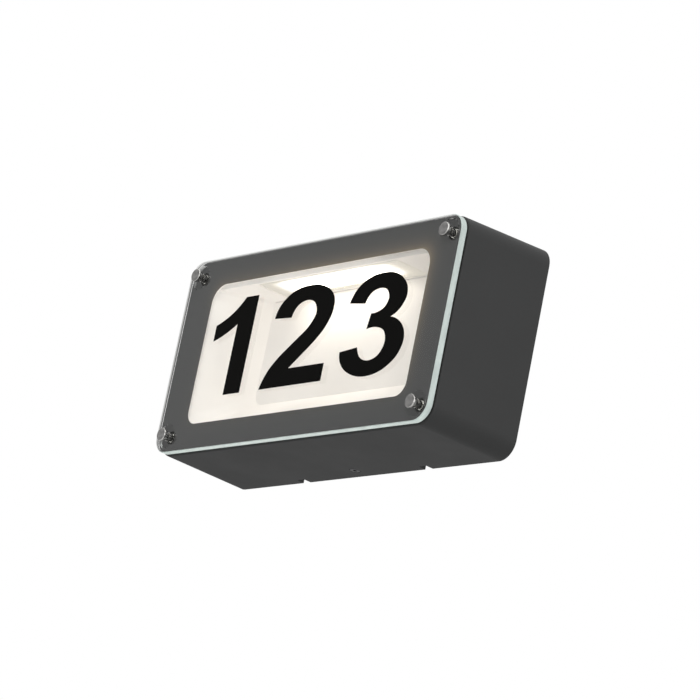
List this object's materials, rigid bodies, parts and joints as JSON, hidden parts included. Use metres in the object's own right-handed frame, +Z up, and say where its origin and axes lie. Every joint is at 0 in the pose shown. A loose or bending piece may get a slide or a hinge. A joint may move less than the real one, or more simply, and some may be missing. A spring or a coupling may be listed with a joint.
{
  "type": "illuminated house number sign",
  "caption": "Wall-mounted illuminated house number: a printed glass front with dark numerals, held off a shallow tapered metal lamp housing that hooks over a wall plate.",
  "frame": {"origin": "middle of the rear face of the wall plate, on the wall, midway between the fixing slots", "axes": "+Z up as mounted, +X to the right as the sign is read, +Y into the wall, so the glass faces -Y"},
  "size_m": [0.2698, 0.0748, 0.1348],
  "materials": {
    "clear_glass": "polished clear safety glass with a pale green edge",
    "border_ink": "opaque dark grey ink fired on the back of the glass",
    "numeral_film": "black self-adhesive film",
    "stainless_steel": "turned stainless steel, fine circular brushing on the faces",
    "powder_coated_casting": "die-cast aluminium with a fine anthracite powder coat",
    "brass_fittings": "plain machined brass",
    "gasket_rubber": "black foam rubber",
    "zinc_plated_steel": "bright zinc plate",
    "white_moulding": "satin warm white moulding",
    "opal_cover": "diffusing opal moulding",
    "light_board": "white solder resist on an aluminium strip",
    "led_phosphor": "yellow phosphor under clear silicone",
    "bare_aluminium": "mill finish sheet",
    "driver_shell": "white moulded shell",
    "circuit_board": "green board with dark parts",
    "terminal_moulding": "natural nylon",
    "brown_insulation": "brown lead insulation",
    "blue_insulation": "blue lead insulation",
    "green_insulation": "green lead insulation with a yellow stripe",
    "red_insulation": "red lead insulation",
    "black_insulation": "black lead insulation",
    "tinned_copper": "tin plated copper",
    "grommet_rubber": "black moulded rubber"
  },
  "bodies": {
    "wall_mount": {"wall_plate": "zinc_plated_steel", "cable_grommet": "grommet_rubber"},
    "lamp_housing": {"housing": "powder_coated_casting", "threaded_inserts": "brass_fittings", "glass_gasket": "gasket_rubber", "lock_nut": "zinc_plated_steel", "reflector_tray": "white_moulding", "tray_screws": "zinc_plated_steel", "lamp_cover": "opal_cover", "led_board": "light_board", "led_chips": "led_phosphor", "lamp_carrier": "bare_aluminium", "carrier_screws": "zinc_plated_steel", "driver_case": "driver_shell", "driver_lid": "driver_shell", "driver_board": "circuit_board", "gear_screws": "zinc_plated_steel", "terminal_block": "terminal_moulding", "terminal_tubes": "brass_fittings", "terminal_screws": "zinc_plated_steel", "live_lead": "brown_insulation", "neutral_lead": "blue_insulation", "earth_lead": "green_insulation", "lamp_lead_plus": "red_insulation", "lamp_lead_minus": "black_insulation", "earth_lug": "tinned_copper", "earth_screw": "zinc_plated_steel"},
    "glass_front": {"front_glass": "clear_glass", "border_print": "border_ink", "numeral_one": "numeral_film", "numeral_two": "numeral_film", "numeral_three": "numeral_film", "cap_screws": "stainless_steel", "screw_spacers": "stainless_steel"},
    "lock_screw": {"locking_screw": "stainless_steel"}
  },
  "joints": [
    {"name": "housing_pull", "type": "slide", "parent": "wall_mount", "child": "lamp_housing", "axis": [0, -1, 0], "range_m": [0, 0.08]},
    {"name": "glass_pull", "type": "slide", "parent": "lamp_housing", "child": "glass_front", "axis": [0, -1, 0], "range_m": [0, 0.03]},
    {"name": "lock_screw_out", "type": "slide", "parent": "lamp_housing", "child": "lock_screw", "axis": [0, 0, -1], "range_m": [0, 0.02]}
  ]
}
